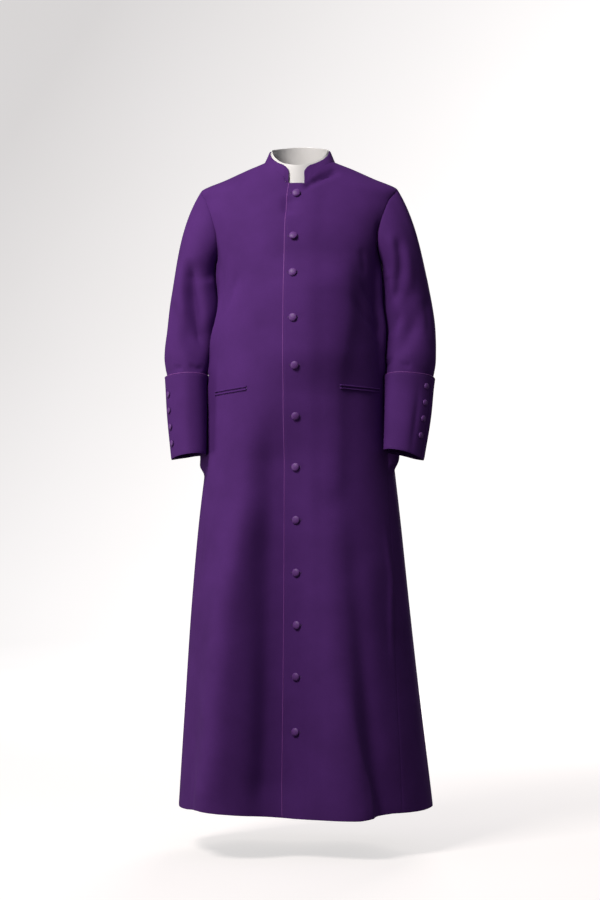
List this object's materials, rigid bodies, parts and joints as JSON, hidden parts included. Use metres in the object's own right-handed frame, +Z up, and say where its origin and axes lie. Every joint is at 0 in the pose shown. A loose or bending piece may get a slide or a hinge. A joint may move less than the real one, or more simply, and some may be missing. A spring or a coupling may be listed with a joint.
{
  "type": "cassock",
  "caption": "Ankle-length purple cassock: stand collar with a white band in its notch, covered buttons down the overlapping front, slanted jetted pockets and deep buttoned cuffs.",
  "frame": {"origin": "middle of the neck hole at the height of the shoulder's neck point, where the wearer's neck and shoulders carry the garment", "axes": "+Z up along the garment, -Y towards the front with its buttons, +X towards the wearer's left"},
  "size_m": [0.6187, 0.409, 1.5081],
  "materials": {
    "wool_cloth": "matt fine wool cloth with a soft bloom",
    "piping": "satin-covered cord with a soft sheen",
    "covered_button": "domed button covered with the same cloth",
    "white_band": "smooth white collar insert, semi-matt"
  },
  "bodies": {
    "root": {"back_left_bodice": "wool_cloth", "back_left_skirt": "wool_cloth", "back_right_bodice": "wool_cloth", "back_right_skirt": "wool_cloth", "collar": "wool_cloth", "collar_insert": "white_band", "cuff_button_left_1": "covered_button", "cuff_button_left_2": "covered_button", "cuff_button_left_3": "covered_button", "cuff_button_left_4": "covered_button", "cuff_button_right_1": "covered_button", "cuff_button_right_2": "covered_button", "cuff_button_right_3": "covered_button", "cuff_button_right_4": "covered_button", "cuff_left": "wool_cloth", "cuff_piping_left": "piping", "cuff_piping_right": "piping", "cuff_right": "wool_cloth", "front_button_01": "covered_button", "front_button_02": "covered_button", "front_button_03": "covered_button", "front_button_04": "covered_button", "front_button_05": "covered_button", "front_button_06": "covered_button", "front_button_07": "covered_button", "front_button_08": "covered_button", "front_button_09": "covered_button", "front_button_10": "covered_button", "front_button_11": "covered_button", "front_button_12": "covered_button", "front_left_bodice": "wool_cloth", "front_left_skirt": "wool_cloth", "front_piping": "piping", "front_right_bodice": "wool_cloth", "front_right_skirt": "wool_cloth", "pocket_lower_jet_left": "wool_cloth", "pocket_lower_jet_right": "wool_cloth", "pocket_upper_jet_left": "wool_cloth", "pocket_upper_jet_right": "wool_cloth", "sleeve_left": "wool_cloth", "sleeve_right": "wool_cloth"}
  },
  "joints": []
}
